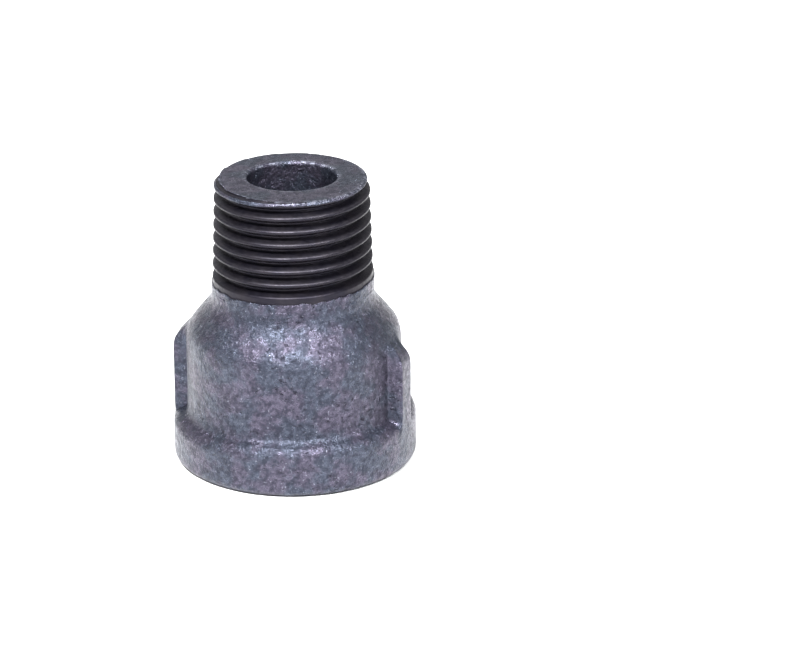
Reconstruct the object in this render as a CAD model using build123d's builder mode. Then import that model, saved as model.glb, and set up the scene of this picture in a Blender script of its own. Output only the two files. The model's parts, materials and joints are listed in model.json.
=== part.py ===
"""Concentric reducing socket, 1/2 inch male by 3/4 inch female, in malleable cast iron.

It is one casting with a thread cut at each end. It stands on its female mouth: the common
axis is Z, the mouth face lies on Z = 0 and the male nose points up. Lengths are in
millimetres and angles in degrees.
"""

import os
from math import radians, tan

from build123d import *
from build123d.topology import SkipClean

# ---- Pipe thread form: 55 degree flanks, 14 threads per inch on both ends ----
pitch = 25.4 / 14
thread_depth = 0.640327 * pitch
flank_angle = 27.5
taper_angle = 1.79  # 1 in 16 on the diameter
cutter_overrun = 0.25  # how far a thread cutter reaches past the crests, into the air

# ---- Male end: taper thread, 1/2 inch ----
male_gauge_radius = 20.955 / 2
male_gauge_length = 8.2
male_thread_length = 13.8
male_groove_start = 25.7  # height of the lowest groove, where the die stopped
male_groove_turns = 8
male_groove_angle = 106.0  # where the lowest groove starts, from +X
nose_face_radius = 9.8
nose_chamfer_height = 0.6
blank_extra = 3.0  # length of the male blank that is faced off again
blank_foot = 24.4  # height where the threaded end joins the neck
neck_chamfer = 0.1

# ---- Female end: parallel thread, 3/4 inch ----
female_minor_radius = 24.117 / 2
female_thread_length = 12.0
mouth_radius = 12.5

# ---- Outside of the casting, from the mouth up ----
overall_length = 38.8
bead_radius = 16.2
bead_height = 6.9
bead_foot_rounding = 1.0
bead_top_rounding = 1.3
bead_root_rounding = 0.55
body_radius = 14.3
shoulder_start = 17.9
shoulder_top = 22.2
shoulder_rounding = 3.5
neck_radius = 10.8
neck_rounding = 3.0

# ---- Inside of the casting ----
waterway_radius = 6.2
waterway_lip = 0.4
core_radius = 11.4
core_start = 13.4
core_shoulder = 16.8
core_throat = 22.8
core_rounding = 3.0
bore_section_depth = 1.0

# ---- Two cast ribs that give a grip for turning the fitting ----
rib_width = 3.2
rib_radius = 16.1
rib_foot = 3.0
rib_corner = 16.0  # where the rib's outer edge starts to follow its sloping top
rib_top = 20.3
rib_back_radius = 12.0
rib_top_radius = 11.6
rib_half_spread = 84.0  # each rib's angle from the -Y direction
rib_corner_rounding = 3.2

# ---- Sizes worked out from the above ----
crest_flat = pitch / 2 - thread_depth * tan(radians(flank_angle))
taper = tan(radians(taper_angle))
male_thread_start = overall_length - male_thread_length
male_tip_radius = male_gauge_radius - male_gauge_length * taper
male_end_radius = male_tip_radius + male_thread_length * taper
male_groove_radius = male_tip_radius + (overall_length - male_groove_start) * taper
blank_top = overall_length + blank_extra
blank_top_radius = male_tip_radius - blank_extra * taper
nose_edge_radius = male_tip_radius + nose_chamfer_height * taper
chamfer_end_radius = 2 * nose_edge_radius - nose_face_radius
chamfer_end = overall_length - 2 * nose_chamfer_height
mouth_chamfer = mouth_radius - female_minor_radius


def groove_section(side):
    """Corners of a groove's section, from a point on the crest; side is +1 to cut outwards."""
    root = crest_flat / 2
    lip = root + (thread_depth + cutter_overrun) * tan(radians(flank_angle))
    above_crest = -side * cutter_overrun
    below_crest = side * thread_depth
    return [(above_crest, -lip), (below_crest, -root), (below_crest, root), (above_crest, lip)]


# The groove of the male thread, a coil that winds up past the nose.
with BuildPart() as male_groove:
    with BuildLine() as male_helix:
        Helix(pitch, male_groove_turns * pitch, male_groove_radius,
              center=(0, 0, male_groove_start), cone_angle=-taper_angle)
    with BuildSketch(Plane((male_groove_radius, 0, male_groove_start), (1, 0, 0), (0, -1, 0))):
        Polygon(*groove_section(-1), align=None)
    sweep(path=male_helix.line, is_frenet=True)

# The male end: a taper blank on a short neck is threaded, then faced, chamfered and bored.
with BuildPart() as male_end:
    with BuildSketch(Plane.XZ):
        Polygon(
            (0, blank_foot),
            (neck_radius, blank_foot),
            (neck_radius, male_thread_start - neck_chamfer),
            (male_end_radius, male_thread_start),
            (blank_top_radius, blank_top),
            (0, blank_top),
            align=None,
        )
    revolve(axis=Axis.Z)
    add(male_groove.part, mode=Mode.SUBTRACT)
    with BuildSketch(Plane.XZ) as nose_cut:
        Polygon(
            (0, blank_foot),
            (waterway_radius, blank_foot),
            (waterway_radius, overall_length),
            (nose_face_radius, overall_length),
            (chamfer_end_radius, chamfer_end),
            (chamfer_end_radius, blank_top),
            (0, blank_top),
            align=None,
        )
        lip_corner = nose_cut.vertices().sort_by_distance((waterway_radius, overall_length))[0]
        fillet(lip_corner, waterway_lip)
    revolve(axis=Axis.Z, mode=Mode.SUBTRACT)

# The groove of the female thread, which starts one turn below the mouth.
with BuildPart() as female_groove:
    with BuildLine(Plane.XY.offset(-pitch)) as female_helix:
        Helix(pitch, female_thread_length + pitch, female_minor_radius)
    with BuildSketch(Plane((female_minor_radius, 0, -pitch), (1, 0, 0), (0, -1, 0))):
        Polygon(*groove_section(1), align=None)
    sweep(path=female_helix.line, is_frenet=True)

# The casting as it leaves the foundry, a round wall with two ribs and a cored inside, then
# its bore, its male end and its female thread.
with BuildPart() as threaded_casting:
    with BuildSketch(Plane.XZ) as wall_section:
        with BuildLine():
            Polyline(
                (core_radius, 0),
                (bead_radius, 0),
                (bead_radius, bead_height),
                (body_radius, bead_height),
                (body_radius, shoulder_start),
                (neck_radius, shoulder_top),
                (neck_radius, blank_foot),
                (waterway_radius, blank_foot),
                (waterway_radius, core_throat),
                (core_radius, core_shoulder),
                close=True,
            )
        make_face()
        roundings = {
            (bead_radius, 0): bead_foot_rounding,
            (bead_radius, bead_height): bead_top_rounding,
            (body_radius, bead_height): bead_root_rounding,
            (body_radius, shoulder_start): shoulder_rounding,
            (neck_radius, shoulder_top): neck_rounding,
            (waterway_radius, core_throat): core_rounding,
            (core_radius, core_shoulder): core_rounding,
        }
        for corner, rounding in roundings.items():
            fillet(wall_section.vertices().sort_by_distance(corner)[0], rounding)
    revolve(axis=Axis.Z)

    for spread in (-rib_half_spread, rib_half_spread):
        with BuildSketch(Plane.XZ.rotated((0, 0, spread - 90))) as rib_outline:
            with BuildLine():
                Polyline(
                    (rib_back_radius, rib_foot),
                    (rib_radius, rib_foot),
                    (rib_radius, rib_corner),
                    (rib_top_radius, rib_top),
                    close=True,
                )
            make_face()
            outer_corner = rib_outline.vertices().sort_by_distance((rib_radius, rib_corner))[0]
            fillet(outer_corner, rib_corner_rounding)
        extrude(amount=rib_width / 2, both=True)

    with BuildSketch(Plane.XZ):
        Polygon(
            (core_radius - bore_section_depth, 0),
            (mouth_radius, 0),
            (female_minor_radius, mouth_chamfer),
            (female_minor_radius, core_start + core_radius - female_minor_radius),
            (core_radius, core_start),
            (core_radius - bore_section_depth, core_start),
            align=None,
        )
    revolve(axis=Axis.Z, mode=Mode.SUBTRACT)

    add(male_end.part, rotation=(0, 0, male_groove_angle), clean=False)
    add(female_groove.part, mode=Mode.SUBTRACT, clean=False)

# The same solid with its surfaces divided on the YZ plane, so that no face goes once round.
with BuildPart() as reducer_casting:
    with SkipClean():
        for half in (Keep.TOP, Keep.BOTTOM):
            add(split(threaded_casting.part, bisect_by=Plane.YZ, keep=half, mode=Mode.PRIVATE))

reducer_casting.part.label = "reducer_casting"
os.makedirs("parts", exist_ok=True)
export_step(reducer_casting.part, "parts/reducer_casting.step")
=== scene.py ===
import json
from math import atan2, cos, pi, radians, sin, tan

import bmesh
import bpy
import numpy as np
from mathutils import Matrix, Vector, noise


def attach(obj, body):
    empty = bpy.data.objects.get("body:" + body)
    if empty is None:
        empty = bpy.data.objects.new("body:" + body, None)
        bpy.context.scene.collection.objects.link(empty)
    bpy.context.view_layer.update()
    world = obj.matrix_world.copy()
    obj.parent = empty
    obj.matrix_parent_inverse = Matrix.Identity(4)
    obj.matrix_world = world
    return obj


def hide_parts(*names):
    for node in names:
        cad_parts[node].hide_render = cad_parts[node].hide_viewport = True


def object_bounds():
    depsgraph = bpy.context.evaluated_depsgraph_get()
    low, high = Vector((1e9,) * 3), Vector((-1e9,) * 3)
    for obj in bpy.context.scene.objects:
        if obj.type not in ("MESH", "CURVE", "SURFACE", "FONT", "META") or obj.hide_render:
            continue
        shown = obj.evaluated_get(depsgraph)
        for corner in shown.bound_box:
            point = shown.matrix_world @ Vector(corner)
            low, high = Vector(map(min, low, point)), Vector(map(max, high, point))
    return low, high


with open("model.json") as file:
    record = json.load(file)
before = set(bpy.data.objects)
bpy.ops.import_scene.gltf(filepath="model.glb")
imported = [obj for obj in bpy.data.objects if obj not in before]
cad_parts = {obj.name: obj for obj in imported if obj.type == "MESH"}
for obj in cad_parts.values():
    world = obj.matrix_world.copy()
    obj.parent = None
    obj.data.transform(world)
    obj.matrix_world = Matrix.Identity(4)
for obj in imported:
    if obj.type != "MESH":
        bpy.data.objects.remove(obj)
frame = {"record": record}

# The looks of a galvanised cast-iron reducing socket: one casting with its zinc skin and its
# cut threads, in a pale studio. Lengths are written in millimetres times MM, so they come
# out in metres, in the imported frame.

MM = 0.001
NODE = "reducer_casting"
MOUNTS = {mount["name"]: mount for mount in frame["record"]["mounts"]}
CAD_LOW, CAD_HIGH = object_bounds()

# ---- Thread form: 55 degree flanks, 14 threads per inch, right-handed on both ends ----
PITCH = 25.4 * MM / 14
DEPTH = 0.640327 * PITCH
FLANK = radians(27.5)
TAPER = 1 / 32
CREST_HALF = PITCH / 4 - DEPTH * tan(FLANK) / 2

# ---- Outside of the casting ----
LENGTH = CAD_HIGH.z - CAD_LOW.z
BEAD_RADIUS = CAD_HIGH.x
BEAD_HEIGHT = 6.4 * MM
BEAD_ROOT = 7.25 * MM
BODY_RADIUS = 14.3 * MM
SHOULDER_START = 17.9 * MM
SHOULDER_TOP = 22.2 * MM
NECK_RADIUS = 10.8 * MM
NECK_TOP = 24.0 * MM
MALE_TIP_RADIUS = MOUNTS["male_thread"]["dims"]["r_mm"] * MM - 8.2 * MM * TAPER
MALE_GROOVE_ANGLE = radians(106)
MALE_GROOVE_HEIGHT = 25.7 * MM
NOSE_FACE_RADIUS = 9.8 * MM
NOSE_CHAMFER = 0.6 * MM

# ---- Inside of the casting ----
WATERWAY_RADIUS = MOUNTS["waterway"]["dims"]["r_mm"] * MM
FEMALE_RADIUS = MOUNTS["female_thread"]["dims"]["r_mm"] * MM
FEMALE_LENGTH = 12.0 * MM
MOUTH_RADIUS = 12.5 * MM
CORE_RADIUS = 11.4 * MM
CORE_START = 13.4 * MM
CORE_SHOULDER = 16.8 * MM
CORE_THROAT = 22.8 * MM

# ---- Ribs ----
RIB_SPREAD = radians(84)
RIB_ANGLES = (-pi / 2 - RIB_SPREAD, -pi / 2 + RIB_SPREAD)
RIB_HALF_WIDTH = 1.6 * MM
RIB_EDGE = 0.3 * MM  # how far a flank spreads past a rib's half width
RIB_RADIUS = 16.14 * MM
RIB_FOOT = 3.0 * MM
RIB_CORNER = 16.0 * MM
RIB_TOP = 20.3 * MM
RIB_TOP_RADIUS = 11.6 * MM
RIB_FADE = 1.5 * MM  # how much further it spreads where the rib melts into the shoulder
RIB_SOFTNESS = 0.5 * MM  # of the corner where the outer edge turns to follow the shoulder

# ---- Studio: the camera's bearing is measured from -Y towards +X ----
CAMERA_BEARING = radians(16)
CAMERA_DISTANCE = 500.0 * MM
CAMERA_SIDEWAYS = 13.5 * MM
CAMERA_HEIGHT = 217.5 * MM
CAMERA_DOWN = radians(21.907)
CAMERA_ROLL = radians(-0.206)
CAMERA_LENS = 184.56  # on a 36 mm sensor
CAMERA_SENSOR = 36
CAMERA_NEAR = 0.01
FLOOR_HALF = 3.0
WORLD_STRENGTH = 0.5

# ---- Mesh: rows follow the wall's outline, columns go round the axis ----
COLUMNS = 330
ROWS = 300
ROWS_PER_PITCH = 14
RIB_CROWDING = 7.0  # how much denser the columns are at a rib's flanks
OUTLINE_STEP = 0.01 * MM  # between the points that rows are counted along

# ---- How the threads were cut, and the highlights painted along their crests ----
DIE_REACH = 1.61 * MM  # from the lowest groove's centre down to where the die stopped
DIE_STEP = 0.93  # part of a turn after which the die's stop steps down by one pitch
DIE_WOBBLE = 0.25 * MM  # raggedness of the line where the die stopped
DIE_GRAIN = 1.2 * MM
DIE_EDGE = 0.05 * MM
UPPER_HIGHLIGHT_RISE = 0.2 * MM  # from a crest's middle up to the painted highlight line above it
LOWER_HIGHLIGHT_DROP = 0.26 * MM  # and down to the fainter painted highlight line below it
HIGHLIGHT_HALF_WIDTH = 0.07 * MM  # half the width of a painted highlight line
LOWER_HIGHLIGHT_STRENGTH = 0.5  # strength of the lower painted highlight line against the upper one
LEFT_HIGHLIGHT_STRENGTH = 0.55  # strength of the painted highlight lines on the left, away from the light, against the right
MOUTH_PUSH = 15.0 * MM  # the mouth face gives way to the thread inside this radius

# ---- The foundry skin and its zinc ----
FRONT = CAMERA_BEARING - pi / 2
RELIEF = 0.07 * MM
FACE_RELIEF = 0.4  # relief of the two end faces against the rest
END_FACE = 0.3 * MM  # the end faces are within this height of either end
BEAD_RAGGED = 1.2  # how much rougher the bead's top edge is than the rest
BEAD_RAGGED_HEIGHT = 1.3 * MM
BEAD_DROOP = 0.9 * MM  # how far the bead's top is lower on the left
LIP_SQUEEZE = 1.3 * MM  # how far zinc narrows the waterway's lip in front
LIP_REACH = 3.5 * MM
RIM_OUTSIDE = NOSE_FACE_RADIUS - 0.8 * MM  # the nose face outside this radius keeps its shape
NOSE_ZINC = 0.4 * MM  # how far down the zinc comes over the thread on the right
NOSE_ZINC_LEFT = 0.8 * MM  # and how much further on the left
NOSE_ZINC_EDGE = 0.15 * MM

# Runs of zinc on the front of the body: bearing in degrees to the right of the middle, then
# height, half width, half length and how far it stands out, in millimetres.
ZINC_RUNS = (
    (11, 11.6, 0.55, 0.45, 0.22),
    (14, 10.7, 0.45, 0.4, 0.16),
    (6, 12.3, 0.4, 0.35, 0.16),
    (-2, 11.4, 0.35, 0.7, 0.15),
    (-7, 11.2, 0.3, 0.6, 0.12),
    (3, 10.6, 0.35, 0.5, 0.12),
)

# ---- Colours, as linear values ----
ZINC_BLUE = (0.052, 0.060, 0.085, 1)
ZINC_PURPLE = (0.072, 0.065, 0.095, 1)
ZINC_DARK = (0.010, 0.011, 0.020, 1)
# pale zinc for the random specks, and the painted highlight on the nose face's edges
PALE_ZINC_AND_HIGHLIGHT = (0.25, 0.26, 0.32, 1)
PIT_DARK = (0.012, 0.011, 0.020, 1)
THREAD_BLACK = (0.009, 0.008, 0.014, 1)
THREAD_BROWN = (0.015, 0.013, 0.018, 1)
# painted highlight along the thread crests' edges
CREST_HIGHLIGHT_GREY = (0.045, 0.042, 0.050, 1)
FLOOR_PALE = (0.86, 0.86, 0.865, 1)
FLOOR_WARM = (0.88, 0.88, 0.88, 1)
WORLD_WHITE = (0.97, 0.98, 1.0, 1)

# ---- Finish of the metal ----
METALLIC = 0.8
ZINC_ROUGHNESS = (0.24, 0.42)
THREAD_ROUGHNESS = (0.36, 0.50)
COARSE_BUMP = 0.22 * MM
PIT_BUMP = 0.12 * MM
FINE_BUMP = 0.13 * MM
FLOOR_ROUGHNESS = 0.7


def ease(x, low, high):
    """0 below low, 1 above high, smooth between."""
    t = np.clip((x - low) / (high - low), 0, 1)
    return t * t * (3 - 2 * t)


def rounded_outline(corners):
    """Points along the closed outline whose corners are (radius, height, rounding, spacing).

    Returns the points, and at each the spacing wanted for the rows there.
    """
    points, spacings = [], []
    for i, (r, z, rounding, spacing) in enumerate(corners):
        here = np.array((r, z))
        before = np.array(corners[i - 1][:2]) - here
        after = np.array(corners[(i + 1) % len(corners)][:2]) - here
        before /= np.hypot(*before)
        after /= np.hypot(*after)
        half_angle = np.arccos(before @ after) / 2
        towards = (before + after) / np.hypot(*(before + after))
        centre = here + towards * rounding / sin(half_angle)
        start = here + before * rounding / tan(half_angle) - centre
        end = here + after * rounding / tan(half_angle) - centre
        turn = atan2(start[0] * end[1] - start[1] * end[0], start @ end)
        for a in np.linspace(0, turn, max(3, int(abs(turn) / radians(3)))):
            points.append(centre + (start[0] * cos(a) - start[1] * sin(a),
                                    start[0] * sin(a) + start[1] * cos(a)))
            spacings.append(spacing)
    return np.array(points), np.array(spacings)


def wall_outline():
    """The casting's wall without threads or ribs, up the outside and then down the bore.

    Each corner is its radius and height, then its rounding and the wanted distance between
    rows, both in millimetres.
    """
    nose_edge_radius = MALE_TIP_RADIUS + NOSE_CHAMFER * TAPER
    mouth_chamfer = MOUTH_RADIUS - FEMALE_RADIUS
    corners = (
        (MOUTH_RADIUS, 0, 0.12, 0.16),
        (BEAD_RADIUS, 0, 1.1, 0.3),
        (BEAD_RADIUS, BEAD_HEIGHT, 1.5, 0.24),
        (BODY_RADIUS, BEAD_ROOT, 0.9, 0.2),
        (BODY_RADIUS, SHOULDER_START, 3.5, 0.42),
        (NECK_RADIUS, SHOULDER_TOP, 3.0, 0.3),
        (NECK_RADIUS, NECK_TOP - 0.1 * MM, 0.05, 0.12),
        (MALE_TIP_RADIUS + (LENGTH - NECK_TOP) * TAPER, NECK_TOP, 0.05, 0.12),
        (nose_edge_radius, LENGTH - NOSE_CHAMFER, 0.1, 0.15),
        (NOSE_FACE_RADIUS, LENGTH, 0.14, 0.13),
        (WATERWAY_RADIUS, LENGTH, 0.4, 0.16),
        (WATERWAY_RADIUS, CORE_THROAT, 3.0, 0.7),
        (CORE_RADIUS, CORE_SHOULDER, 3.0, 0.6),
        (CORE_RADIUS, CORE_START, 0.3, 0.3),
        (FEMALE_RADIUS, CORE_START - CORE_RADIUS + FEMALE_RADIUS - 1.2 * MM, 0.2, 0.2),
        (FEMALE_RADIUS, mouth_chamfer, 0.08, 0.15),
    )
    return rounded_outline([(r, z, rounding * MM, spacing * MM)
                            for r, z, rounding, spacing in corners])


def groove_depth(distance):
    """A thread groove's depth, from 0 to 1, at a distance along the axis from its centre."""
    flank = PITCH / 2 - 2 * CREST_HALF
    return np.clip((PITCH / 2 - CREST_HALF - np.abs(distance)) / flank, 0, 1)


def column_angles():
    """Angles of the columns, crowded where the ribs' flanks rise."""
    fine = np.linspace(0, 2 * pi, 20001)
    crowd = np.ones_like(fine)
    half_angle = RIB_HALF_WIDTH / (0.5 * (BODY_RADIUS + RIB_RADIUS))
    for rib in RIB_ANGLES:
        for flank in (rib - half_angle, rib + half_angle):
            off = (fine - flank + pi) % (2 * pi) - pi
            crowd += RIB_CROWDING * np.exp(-((off / radians(1.6)) ** 2))
    count = np.concatenate(((0,), np.cumsum((crowd[1:] + crowd[:-1]) / 2)))
    return np.interp(np.arange(COLUMNS) / COLUMNS * count[-1], count, fine)


def casting_grid():
    """Radius, height and angle of every vertex, as arrays of rows by columns.

    Along a row the height climbs by one pitch for each turn on the male thread, so that the
    rows run along its crests, and a row comes back ROWS_PER_PITCH rows further on.
    """
    points, spacings = wall_outline()
    points = np.vstack((points, points[:1]))
    spacings = np.append(spacings, spacings[0])
    lengths = np.hypot(*np.diff(points, axis=0).T)
    along = np.concatenate(((0,), np.cumsum(lengths)))

    fine = np.arange(0, along[-1], OUTLINE_STEP)
    radius = np.interp(fine, along, points[:, 0])
    height = np.interp(fine, along, points[:, 1])
    outside = fine < fine[np.argmax(height)]
    threaded = outside & (height > NECK_TOP) & (height < LENGTH - NOSE_CHAMFER)
    density = np.where(threaded, ROWS_PER_PITCH / PITCH, 1 / np.interp(fine, along, spacings))
    step = fine[1] - fine[0]
    plain_rows = density[~threaded].sum() * step
    thread_rows = density[threaded].sum() * step
    density[~threaded] *= (ROWS - thread_rows) / plain_rows
    counted = np.cumsum(density) * step

    angles = column_angles()
    first = np.argmax(threaded)
    crest = MALE_GROOVE_HEIGHT + PITCH / 2 - MALE_GROOVE_ANGLE / (2 * pi) * PITCH
    offset = counted[first] + (crest - height[first]) / PITCH * ROWS_PER_PITCH
    turn = np.arange(ROWS)[:, None] + offset % 1 + ROWS_PER_PITCH * angles[None, :] / (2 * pi)
    turn = turn % ROWS
    place = np.interp(turn, counted, fine)
    return (np.interp(place, fine, radius), np.interp(place, fine, height),
            np.broadcast_to(angles, turn.shape), np.interp(place, fine, outside) > 0.5)


def ring_noise(angle, size):
    """Noise from about -1 to 1 that comes round to itself, with grains about size long."""
    around_ring = MALE_TIP_RADIUS / size
    values = [noise.noise(Vector((cos(a), sin(a), 0)) * around_ring) for a in angle[0]]
    return np.broadcast_to(np.array(values), angle.shape)


def painted_crest_highlight(off, right):
    """Brightness of the painted highlight lines along the crests' edges, from the distance above a
    groove's centre. The lines are weaker on the left, and the lower line shows only towards the
    right.
    """
    above_crest = (off + PITCH) % PITCH - PITCH / 2
    upper = np.exp(-(((above_crest - UPPER_HIGHLIGHT_RISE) / HIGHLIGHT_HALF_WIDTH) ** 2))
    upper *= LEFT_HIGHLIGHT_STRENGTH + (1 - LEFT_HIGHLIGHT_STRENGTH) * ease(right, -0.6, 0.1)
    lower = np.exp(-(((above_crest + LOWER_HIGHLIGHT_DROP) / HIGHLIGHT_HALF_WIDTH) ** 2))
    lower *= LOWER_HIGHLIGHT_STRENGTH * ease(right, -0.1, 0.3) * (1 - ease(right, 0.5, 0.8))
    return upper + lower


def cut_male_thread(r, z, angle, outside):
    """Cuts the taper thread. Returns the new radius, where the die has cut, and where highlights
    are painted along its crests.
    """
    turn = (angle - MALE_GROOVE_ANGLE) / (2 * pi)
    lowest = MALE_GROOVE_HEIGHT + PITCH * (turn % 1)
    die_stop = lowest - DIE_REACH - PITCH * ease(turn % 1, DIE_STEP, 1.0)
    die_stop = die_stop + DIE_WOBBLE * ring_noise(angle, DIE_GRAIN)
    off = (z - MALE_GROOVE_HEIGHT - PITCH * turn + PITCH / 2) % PITCH - PITCH / 2
    started = ease(z - off, MALE_GROOVE_HEIGHT - 0.1 * PITCH, MALE_GROOVE_HEIGHT + 0.2 * PITCH)
    zone = outside & (z > NECK_TOP)
    cut = zone * ease(z - die_stop, -DIE_EDGE, DIE_EDGE)
    depth = groove_depth(off) * started * cut
    threaded = MALE_TIP_RADIUS + (LENGTH - z) * TAPER - DEPTH * depth
    neck = np.where(zone, (NECK_RADIUS - r) * (1 - cut), 0)
    new_r = np.where(zone, np.minimum(r, threaded), r) + neck

    right = np.sin(angle - FRONT)
    # painted highlight lines along the crests' edges, only where the die has cut
    crest = painted_crest_highlight(off, right) * cut * ease(z - die_stop, 0.5 * PITCH, 0.7 * PITCH)
    zinc_end = LENGTH - NOSE_ZINC - NOSE_ZINC_LEFT * ease(-right, 0.1, 0.8)
    zinc = ease(z, zinc_end - NOSE_ZINC_EDGE, zinc_end + NOSE_ZINC_EDGE)
    return new_r, cut * (1 - zinc * (1 - ease(depth, 0.1, 0.4))), crest


def cut_female_thread(r, z, angle, outside):
    """Cuts the parallel thread, which breaks out through the edge of the mouth."""
    lead = PITCH * angle / (2 * pi)
    off = (z - lead + PITCH / 2) % PITCH - PITCH / 2
    ended = 1 - ease(z - off, FEMALE_LENGTH - 0.3 * PITCH, FEMALE_LENGTH + 0.2 * PITCH)
    root = FEMALE_RADIUS + DEPTH * groove_depth(off) * ended
    bore = ~outside & (z < CORE_START)
    new_r = np.where(bore, np.maximum(r, root), r)
    edge_off = (-lead + PITCH / 2) % PITCH - PITCH / 2
    edge = np.maximum(MOUTH_RADIUS, FEMALE_RADIUS + DEPTH * groove_depth(edge_off))
    face = outside & (z < 0.02 * MM) & (r < MOUTH_PUSH)
    pushed = edge + (r - MOUTH_RADIUS) * (MOUTH_PUSH - edge) / (MOUTH_PUSH - MOUTH_RADIUS)
    new_r = np.where(face, np.maximum(r, pushed), new_r)
    cut = bore * (1 - ease(z, FEMALE_LENGTH, FEMALE_LENGTH + 0.3 * MM))
    return new_r, cut


def raise_ribs(r, z, angle, outside):
    """Raises the two ribs between the bead and the shoulder."""
    slope = (RIB_TOP_RADIUS - RIB_RADIUS) / (RIB_TOP - RIB_CORNER)
    sloping = RIB_RADIUS + (z - RIB_CORNER) * slope
    corner = RIB_SOFTNESS * np.logaddexp(0, (RIB_RADIUS - sloping) / RIB_SOFTNESS)
    ridge = RIB_RADIUS - corner
    for rib in RIB_ANGLES:
        off = np.abs((angle - rib + pi) % (2 * pi) - pi)
        spread = RIB_EDGE + RIB_FADE * ease(z, RIB_CORNER - 1.0 * MM, RIB_TOP - 1.0 * MM)
        inner = (RIB_HALF_WIDTH - spread / 2) / RIB_RADIUS
        outer = (RIB_HALF_WIDTH + spread) / BODY_RADIUS
        ramp = np.clip((outer - off) / (outer - inner), 0, 1)
        height = 0.4 * ramp + 0.6 * ease(off, outer, inner)
        face = ridge / np.cos(np.minimum(off, outer))
        raised = outside & (z > RIB_FOOT) & (face > r) & (off < outer)
        r = np.where(raised, r + (face - r) * height, r)
    return r


def squeeze_lip(r, z, angle):
    """Thickens the zinc on the waterway's lip, most of all in front, where it ran together."""
    front = (0.5 + 0.5 * np.cos(angle - FRONT)) ** 2
    down_bore = ease(z, LENGTH - LIP_REACH, LENGTH - 0.4 * MM)
    over_face = 1 - ease(r, WATERWAY_RADIUS, RIM_OUTSIDE)
    near = (z > LENGTH - LIP_REACH) & (r < RIM_OUTSIDE)
    return np.where(near, r - LIP_SQUEEZE * front * down_bore * over_face, r)


def droop_bead(z, angle, outside):
    """Lowers the bead's top on the left."""
    left = ease(-np.sin(angle - FRONT), 0.3, 0.9)
    near = ease(z, 2.5 * MM, BEAD_HEIGHT) * (1 - ease(z, BEAD_ROOT, 11.0 * MM))
    return z - outside * BEAD_DROOP * left * near


def raise_runs(r, z, angle, outside):
    """Raises the runs of zinc that set on the front of the body."""
    for bearing, height, width, length, stand in ZINC_RUNS:
        across = BODY_RADIUS * ((angle - FRONT - radians(bearing) + pi) % (2 * pi) - pi)
        up = z - height * MM
        away = (across / (width * MM)) ** 2 + (up / (length * MM)) ** 2
        r = r + outside * stand * MM * np.exp(-away)
    return r


def cast_relief(x, y, z):
    """How far the foundry skin stands off its nominal surface, from about -1 to 1."""
    slow = noise.noise(Vector((x, y, z)) / (5.0 * MM))
    middle = noise.noise(Vector((x, y, z)) / (1.9 * MM) + Vector((7.3, 1.1, 4.2)))
    quick = noise.noise(Vector((x, y, z)) / (0.75 * MM) + Vector((2.9, 8.4, 6.1)))
    return 0.55 * slow + 0.32 * middle + 0.18 * quick


def nose_rim(r, z):
    """Where a highlight is painted: 1 on the outer and the inner edge of the nose face, 0 between
    them and elsewhere.
    """
    outer = ease(r, NOSE_FACE_RADIUS - 0.7 * MM, NOSE_FACE_RADIUS - 0.1 * MM)
    inner = 1 - ease(r, WATERWAY_RADIUS + 0.3 * MM, WATERWAY_RADIUS + 0.8 * MM)
    return ease(z, LENGTH - 0.45 * MM, LENGTH - 0.1 * MM) * np.maximum(outer, inner)


def build_casting():
    """The casting's mesh object, with where it is cut and where highlights are painted (thread
    crests, nose face edges) as vertex attributes.
    """
    r, z, angle, outside = casting_grid()
    z = droop_bead(z, angle, outside)
    r = raise_ribs(r, z, angle, outside)
    r = raise_runs(r, z, angle, outside)
    r, male_cut, crest = cut_male_thread(r, z, angle, outside)
    r, female_cut = cut_female_thread(r, z, angle, outside)
    cut = np.maximum(male_cut, female_cut)
    rim = nose_rim(r, z)
    r = squeeze_lip(r, z, angle)

    rows, columns = r.shape
    x, y = r * np.cos(angle), r * np.sin(angle)
    relief = np.array([cast_relief(*p) for p in np.stack((x, y, z), -1).reshape(-1, 3)])
    relief = relief.reshape(r.shape) * (1 - cut)
    relief *= 1 + BEAD_RAGGED * np.exp(-(((z - BEAD_HEIGHT) / BEAD_RAGGED_HEIGHT) ** 2))
    face = outside & ((z < END_FACE) | (z > LENGTH - END_FACE))
    side = np.where(outside, 1.0, -1.0) * ~face
    r = r + side * RELIEF * relief
    r = np.where(outside, np.minimum(r, BEAD_RADIUS - 0.01 * MM), r)
    z = np.clip(z + face * FACE_RELIEF * RELIEF * relief, 0, LENGTH)
    co = np.stack((r * np.cos(angle), r * np.sin(angle), z), -1).reshape(-1, 3)

    index = np.arange(rows * columns).reshape(rows, columns)
    next_turn = np.roll(index[:, :1], -ROWS_PER_PITCH, axis=0)
    following = np.concatenate((index[:, 1:], next_turn), axis=1)
    above = np.roll(index, -1, axis=0)
    above_following = np.roll(following, -1, axis=0)
    quads = np.stack((index, following, above_following, above), -1).reshape(-1, 4)
    mesh = bpy.data.meshes.new("reducing_socket")
    mesh.from_pydata(co.tolist(), [], quads.tolist())
    # crest and rim mark where highlights are painted
    for name, values in (("cut", cut), ("crest", crest), ("rim", rim)):
        layer = mesh.attributes.new(name, "FLOAT", "POINT")
        layer.data.foreach_set("value", values.reshape(-1).astype(np.float32))
    mesh.shade_smooth()
    mesh.validate()
    casting = bpy.data.objects.new("reducing_socket", mesh)
    bpy.context.scene.collection.objects.link(casting)
    return casting


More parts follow.
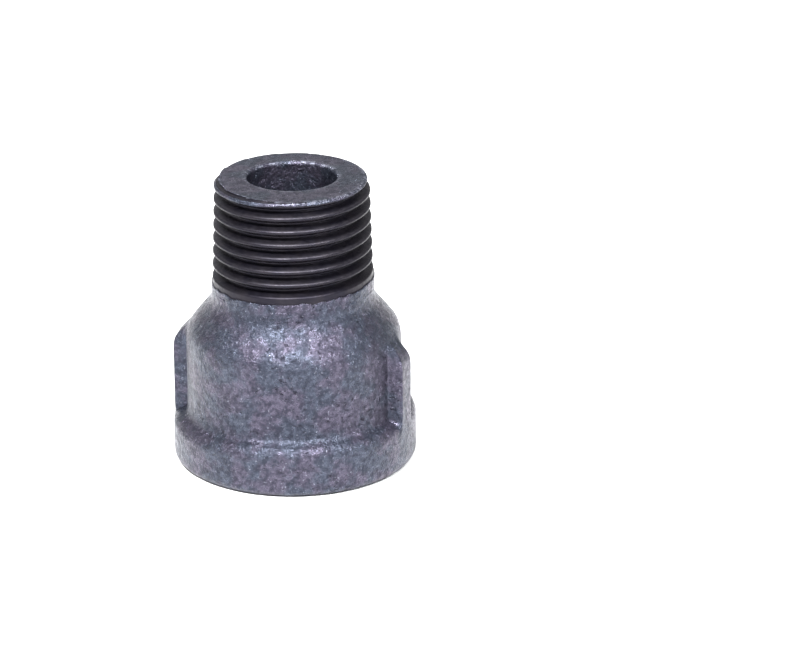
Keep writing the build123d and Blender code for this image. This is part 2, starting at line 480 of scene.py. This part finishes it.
class Shader:
    """A short way to write a material's node tree."""

    def __init__(self, name):
        self.material = bpy.data.materials.new(name)
        self.material.use_nodes = True
        self.tree = self.material.node_tree
        self.principled = self.tree.nodes["Principled BSDF"]
        self.place = self.tree.nodes.new("ShaderNodeTexCoord").outputs["Object"]

    def node(self, kind, inputs=(), **settings):
        made = self.tree.nodes.new("ShaderNode" + kind)
        for key, value in settings.items():
            setattr(made, key, value)
        for key, value in dict(inputs).items():
            self.feed(made.inputs[key], value)
        return made

    def feed(self, socket, value):
        if isinstance(value, bpy.types.NodeSocket):
            self.tree.links.new(value, socket)
        else:
            socket.default_value = value

    def noise(self, size, detail=4.0, roughness=0.55, stretch=(1, 1, 1), shift=(0, 0, 0)):
        """Noise whose grain is about size across."""
        mapped = self.node("Mapping", {"Vector": self.place, "Scale": stretch, "Location": shift})
        grain = self.node("TexNoise", {"Vector": mapped.outputs[0], "Scale": 1 / size,
                                       "Detail": detail, "Roughness": roughness})
        return grain.outputs["Fac"]

    def ramp(self, value, low, high, start=0.0, end=1.0):
        """start where value is below low, end where it is above high, with an ease between."""
        made = self.node("MapRange", {"Value": value, "From Min": low, "From Max": high,
                                      "To Min": start, "To Max": end},
                         interpolation_type="SMOOTHSTEP")
        return made.outputs["Result"]

    def blend(self, factor, first, second):
        made = self.node("Mix", data_type="RGBA")
        for socket, value in ((0, factor), (6, first), (7, second)):
            self.feed(made.inputs[socket], value)
        return made.outputs[2]

    def math(self, operation, first, second=0.0):
        made = self.node("Math", operation=operation)
        self.feed(made.inputs[0], first)
        self.feed(made.inputs[1], second)
        return made.outputs[0]

    def attribute(self, name):
        return self.node("Attribute", attribute_name=name).outputs["Fac"]

    def bump(self, height, distance, normal=None):
        made = self.node("Bump", {"Height": height, "Distance": distance, "Strength": 1.0})
        if normal is not None:
            self.feed(made.inputs["Normal"], normal)
        return made.outputs[0]

    def finish(self, **inputs):
        for key, value in inputs.items():
            self.feed(self.principled.inputs[key.replace("_", " ")], value)
        return self.material


def zinc_layer(s):
    """The zinc's colour, with a painted highlight on the nose face's edges, its roughness, and
    where it is pitted.
    """
    hue = s.ramp(s.noise(4.0 * MM, 4.0), 0.42, 0.58)
    mottle = s.ramp(s.noise(0.8 * MM, 7.0, 0.7, shift=(0.3, 0.1, 0.2)), 0.32, 0.68)
    speck = s.ramp(s.noise(0.3 * MM, 3.0, 0.6, shift=(0.7, 0.4, 0.9)), 0.6, 0.72)
    cluster = s.ramp(s.noise(4.5 * MM, 2.0, shift=(0.9, 0.6, 0.1)), 0.46, 0.62, 0.25, 1.0)
    dashes = s.noise(0.7 * MM, 4.0, 0.6, stretch=(1, 1, 1.7), shift=(0.2, 0.8, 0.5))
    pits = s.math("MULTIPLY", cluster, s.ramp(dashes, 0.57, 0.66))
    # painted highlight on the nose face's edges, broken up by noise
    rough_rim = s.ramp(s.noise(0.5 * MM, 5.0, 0.7), 0.45, 0.6)
    rim = s.math("MULTIPLY", s.attribute("rim"), rough_rim)
    colour = s.blend(hue, ZINC_BLUE, ZINC_PURPLE)
    colour = s.blend(s.ramp(mottle, 0, 1, 0.0, 0.75), colour, ZINC_DARK)
    colour = s.blend(s.ramp(speck, 0, 1, 0.0, 0.5), colour, PALE_ZINC_AND_HIGHLIGHT)
    colour = s.blend(s.ramp(pits, 0, 1, 0.0, 0.85), colour, PIT_DARK)
    colour = s.blend(s.ramp(rim, 0, 1, 0.0, 0.6), colour, PALE_ZINC_AND_HIGHLIGHT)
    return colour, s.ramp(mottle, 0, 1, *ZINC_ROUGHNESS), pits


def thread_layer(s):
    """The cut thread's colour, with highlights painted along its crests, and its roughness."""
    oil = s.ramp(s.noise(2.5 * MM, 3.0), 0.35, 0.65)
    colour = s.blend(oil, THREAD_BLACK, THREAD_BROWN)
    # painted highlight along the crests, broken up by noise
    broken = s.ramp(s.noise(0.8 * MM, 4.0), 0.3, 0.6, 0.35, 1.0)
    crest_highlight = s.math("MULTIPLY", s.attribute("crest"), broken)
    colour = s.blend(crest_highlight, colour, CREST_HIGHLIGHT_GREY)
    return colour, s.ramp(s.noise(0.6 * MM, 4.0), 0.3, 0.7, *THREAD_ROUGHNESS)


def iron_material():
    """Hot-dip zinc on rough cast iron, and dark oiled metal where a thread is cut."""
    s = Shader("galvanised_iron")
    ragged = s.math("MULTIPLY_ADD", s.noise(0.5 * MM, 5.0), 0.7)
    ragged.node.inputs[2].default_value = -0.35
    cut = s.ramp(s.math("ADD", s.attribute("cut"), ragged), 0.4, 0.6)
    zinc, zinc_roughness, pits = zinc_layer(s)
    thread, thread_roughness = thread_layer(s)
    roughness = s.node("Mix", {"Factor": cut}, data_type="FLOAT")
    s.feed(roughness.inputs[2], zinc_roughness)
    s.feed(roughness.inputs[3], thread_roughness)

    skin = s.math("SUBTRACT", 1.0, cut)
    coarse_grain = s.noise(0.9 * MM, 5.0, 0.65, shift=(0.2, 0.8, 0.5))
    coarse = s.math("MULTIPLY", coarse_grain, skin)
    fine = s.math("MULTIPLY", s.noise(0.3 * MM, 3.0, 0.6), s.ramp(skin, 0, 1, 0.25, 1.0))
    sunk = s.math("MULTIPLY", s.math("MULTIPLY", pits, skin), -1.0)
    normal = s.bump(coarse, COARSE_BUMP)
    normal = s.bump(sunk, PIT_BUMP, normal)
    normal = s.bump(fine, FINE_BUMP, normal)
    return s.finish(Base_Color=s.blend(cut, zinc, thread), Metallic=METALLIC, Normal=normal,
                    Roughness=roughness.outputs[0], Specular_IOR_Level=0.5)


def floor_material():
    """A smooth, matt, near-white sheet."""
    s = Shader("studio_floor")
    tone = s.ramp(s.noise(40.0 * MM, 2.0), 0.3, 0.7)
    return s.finish(Base_Color=s.blend(tone, FLOOR_PALE, FLOOR_WARM), Roughness=FLOOR_ROUGHNESS)


def around(bearing, elevation, distance):
    """A point seen from the casting's middle at a bearing from the camera's own."""
    turn = CAMERA_BEARING + radians(bearing)
    tilt = radians(elevation)
    middle = Vector((0, 0, LENGTH / 2))
    return middle + distance * Vector((sin(turn) * cos(tilt), -cos(turn) * cos(tilt), sin(tilt)))


def softbox(name, bearing, elevation, distance, width, height, power):
    """A rectangular light aimed at the casting. Angles in degrees, sizes in metres."""
    light = bpy.data.lights.new(name, "AREA")
    light.shape = "RECTANGLE"
    light.size, light.size_y = width, height
    light.energy = power
    lamp = bpy.data.objects.new(name, light)
    lamp.location = around(bearing, elevation, distance)
    aim = Vector((0, 0, LENGTH / 2)) - lamp.location
    lamp.rotation_euler = aim.to_track_quat("-Z", "Y").to_euler()
    bpy.context.scene.collection.objects.link(lamp)


def build_studio():
    """The pale floor, the soft lights and the camera."""
    scene = bpy.context.scene
    scene.view_settings.view_transform = "Standard"
    world = bpy.data.worlds.new("studio")
    world.use_nodes = True
    background = world.node_tree.nodes["Background"]
    background.inputs["Color"].default_value = WORLD_WHITE
    background.inputs["Strength"].default_value = WORLD_STRENGTH
    scene.world = world

    floor_mesh = bpy.data.meshes.new("floor")
    sheet = bmesh.new()
    bmesh.ops.create_grid(sheet, x_segments=8, y_segments=8, size=FLOOR_HALF)
    sheet.to_mesh(floor_mesh)
    sheet.free()
    floor = bpy.data.objects.new("floor", floor_mesh)
    floor_mesh.materials.append(floor_material())
    scene.collection.objects.link(floor)

    softbox("key", bearing=-24, elevation=56, distance=0.55, width=0.12, height=0.10, power=8.0)
    softbox("second", bearing=36, elevation=44, distance=0.55, width=0.10, height=0.1, power=4.0)
    softbox("overhead", bearing=0, elevation=75, distance=0.6, width=0.5, height=0.3, power=1.2)
    softbox("left_fill", bearing=-85, elevation=25, distance=0.6, width=0.3, height=0.35, power=0.4)
    softbox("back", bearing=205, elevation=45, distance=0.7, width=0.5, height=0.3, power=0.8)

    camera = bpy.data.objects.new("camera", bpy.data.cameras.new("camera"))
    camera.data.lens = CAMERA_LENS
    camera.data.sensor_width = CAMERA_SENSOR
    camera.data.clip_start = CAMERA_NEAR
    turn = Matrix.Rotation(CAMERA_BEARING, 4, "Z")
    place = Matrix.Translation((CAMERA_SIDEWAYS, -CAMERA_DISTANCE, CAMERA_HEIGHT))
    tilt = Matrix.Rotation(pi / 2 - CAMERA_DOWN, 4, "X")
    camera.matrix_world = turn @ place @ tilt @ Matrix.Rotation(CAMERA_ROLL, 4, "Z")
    scene.collection.objects.link(camera)
    scene.camera = camera


casting = build_casting()
casting.data.materials.append(iron_material())
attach(casting, "root")
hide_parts(NODE)
build_studio()
